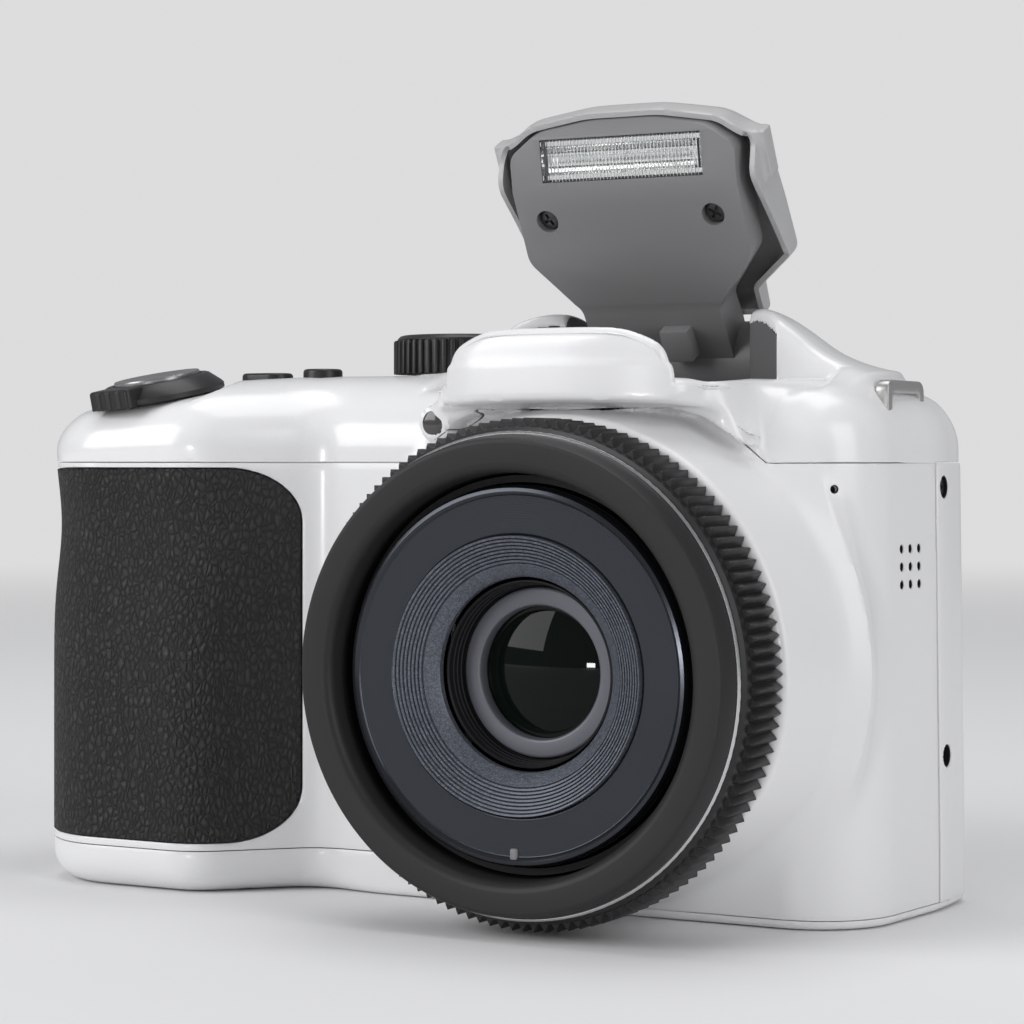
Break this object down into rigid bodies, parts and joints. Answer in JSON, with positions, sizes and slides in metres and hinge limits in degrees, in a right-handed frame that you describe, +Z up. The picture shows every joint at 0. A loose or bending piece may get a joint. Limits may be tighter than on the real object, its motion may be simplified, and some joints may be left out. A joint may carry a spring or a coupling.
{
  "type": "bridge camera",
  "caption": "Compact bridge camera with a rubber-skinned grip, a fixed telescoping zoom lens with a knurled ring, and a flash head that lifts from the hump over the lens.",
  "frame": {"origin": "on the base plane, under the lens axis, at mid depth of the body", "axes": "+X towards the plain flank, +Y towards the back, +Z up; the lens looks along -Y"},
  "size_m": [0.1174, 0.0595, 0.1007],
  "materials": {
    "white_shell": "satin white moulding",
    "white_cover": "smooth white moulding",
    "grip_rubber": "pebbled rubber",
    "lamp_red": "tinted lens",
    "grey_satin": "satin grey moulding",
    "pearl_grey": "pale grey paint",
    "dark_satin": "satin black moulding",
    "barrel_blue": "blue-black brushed finish",
    "bright_metal": "bright metal",
    "screw_steel": "blackened steel",
    "clear": "clear",
    "screen_black": "polished black",
    "inner_black": "matt black",
    "board_green": "solder mask"
  },
  "bodies": {
    "camera_body": {"front_shell": "white_shell", "rear_shell": "white_shell", "top_cover": "white_cover", "bottom_cover": "white_shell", "grip_rubber": "grip_rubber", "af_lamp_lens": "lamp_red", "flash_well": "grey_satin", "flash_hinge_pin": "bright_metal", "lens_guide": "dark_satin", "lens_ring": "dark_satin", "accent_ring": "bright_metal", "knurled_ring": "dark_satin", "shutter_unit": "inner_black", "rear_element": "clear", "image_sensor": "screen_black", "sensor_plate": "bright_metal", "zoom_motor": "bright_metal", "strap_lugs": "bright_metal", "body_screws": "screw_steel", "speaker": "inner_black", "microphone": "bright_metal", "main_board": "board_green", "flash_capacitor": "inner_black", "screen_panel": "screen_black", "screen_window": "screen_black", "battery_bay": "inner_black", "battery": "inner_black", "card_slot": "bright_metal", "door_pin": "bright_metal", "tripod_socket": "bright_metal", "usb_port": "bright_metal"},
    "flash_head": {"flash_housing": "grey_satin", "flash_cover": "pearl_grey", "flash_window": "clear", "flash_reflector": "bright_metal", "flash_tube": "clear", "flash_screws": "screw_steel"},
    "rear_barrel": {"rear_barrel": "dark_satin"},
    "front_barrel": {"front_barrel": "barrel_blue", "baffle_ring": "barrel_blue", "glass_retainer": "barrel_blue", "front_element": "clear", "middle_element": "clear"},
    "zoom_lever": {"zoom_lever": "dark_satin"},
    "shutter_button": {"shutter_button": "bright_metal"},
    "mode_dial": {"mode_dial": "dark_satin"},
    "drive_button": {"drive_button": "dark_satin"},
    "power_button": {"power_button": "dark_satin"},
    "record_button": {"record_button": "lamp_red"},
    "menu_button": {"menu_button": "grey_satin"},
    "play_button": {"play_button": "grey_satin"},
    "erase_button": {"erase_button": "grey_satin"},
    "info_button": {"info_button": "grey_satin"},
    "four_way_pad": {"four_way_pad": "grey_satin"},
    "ok_button": {"ok_button": "grey_satin"},
    "battery_door": {"battery_door": "white_shell"},
    "battery_latch": {"battery_latch": "grey_satin"},
    "port_cover": {"port_cover": "white_shell"}
  },
  "joints": [
    {"name": "flash_hinge", "type": "hinge", "parent": "camera_body", "child": "flash_head", "pos_m": [0, 0.0075, 0.0682], "axis": [1, 0, 0], "range_deg": [0, 62]},
    {"name": "zoom_stage_rear", "type": "slide", "parent": "camera_body", "child": "rear_barrel", "axis": [0, -1, 0], "range_m": [0, 0.016]},
    {"name": "zoom_stage_front", "type": "slide", "parent": "rear_barrel", "child": "front_barrel", "axis": [0, -1, 0], "range_m": [0, 0.015]},
    {"name": "mode_dial_turn", "type": "hinge", "parent": "camera_body", "child": "mode_dial", "pos_m": [-0.031, 0.004, 0.0668], "axis": [0, 0, 1], "continuous": true},
    {"name": "zoom_lever_swing", "type": "hinge", "parent": "camera_body", "child": "zoom_lever", "pos_m": [-0.0635, -0.0192, 0.0635], "axis": [-0.0858, -0.1736, 0.9811], "range_deg": [-22, 22], "stiffness_Nm_per_rad": 0.02},
    {"name": "shutter_button_press", "type": "slide", "parent": "camera_body", "child": "shutter_button", "axis": [0.0858, 0.1736, -0.9811], "range_m": [0, 0.0009], "stiffness_N_per_m": 500},
    {"name": "drive_button_press", "type": "slide", "parent": "camera_body", "child": "drive_button", "axis": [0, 0, -1], "range_m": [0, 0.0005], "stiffness_N_per_m": 700},
    {"name": "power_button_press", "type": "slide", "parent": "camera_body", "child": "power_button", "axis": [0, 0, -1], "range_m": [0, 0.0005], "stiffness_N_per_m": 700},
    {"name": "record_button_press", "type": "slide", "parent": "camera_body", "child": "record_button", "axis": [0, -1, 0], "range_m": [0, 0.0005], "stiffness_N_per_m": 700},
    {"name": "menu_button_press", "type": "slide", "parent": "camera_body", "child": "menu_button", "axis": [0, -1, 0], "range_m": [0, 0.0005], "stiffness_N_per_m": 700},
    {"name": "play_button_press", "type": "slide", "parent": "camera_body", "child": "play_button", "axis": [0, -1, 0], "range_m": [0, 0.0005], "stiffness_N_per_m": 700},
    {"name": "erase_button_press", "type": "slide", "parent": "camera_body", "child": "erase_button", "axis": [0, -1, 0], "range_m": [0, 0.0005], "stiffness_N_per_m": 700},
    {"name": "info_button_press", "type": "slide", "parent": "camera_body", "child": "info_button", "axis": [0, -1, 0], "range_m": [0, 0.0005], "stiffness_N_per_m": 700},
    {"name": "four_way_pad_press", "type": "slide", "parent": "camera_body", "child": "four_way_pad", "axis": [0, -1, 0], "range_m": [0, 0.0005], "stiffness_N_per_m": 700},
    {"name": "ok_button_press", "type": "slide", "parent": "camera_body", "child": "ok_button", "axis": [0, -1, 0], "range_m": [0, 0.0005], "stiffness_N_per_m": 700},
    {"name": "battery_door_hinge", "type": "hinge", "parent": "camera_body", "child": "battery_door", "pos_m": [-0.0492, -0.0064, 0.00125], "axis": [0, -1, 0], "range_deg": [0, 90]},
    {"name": "battery_latch_slide", "type": "slide", "parent": "battery_door", "child": "battery_latch", "axis": [1, 0, 0], "range_m": [0, 0.0025]},
    {"name": "port_cover_hinge", "type": "hinge", "parent": "camera_body", "child": "port_cover", "pos_m": [-0.0798, 0.0099, 0.032], "axis": [0, 0, -1], "range_deg": [0, 100]}
  ],
  "couplings": [
    {"joint": "zoom_stage_front", "follows": "zoom_stage_rear", "ratio": 0.9375}
  ]
}
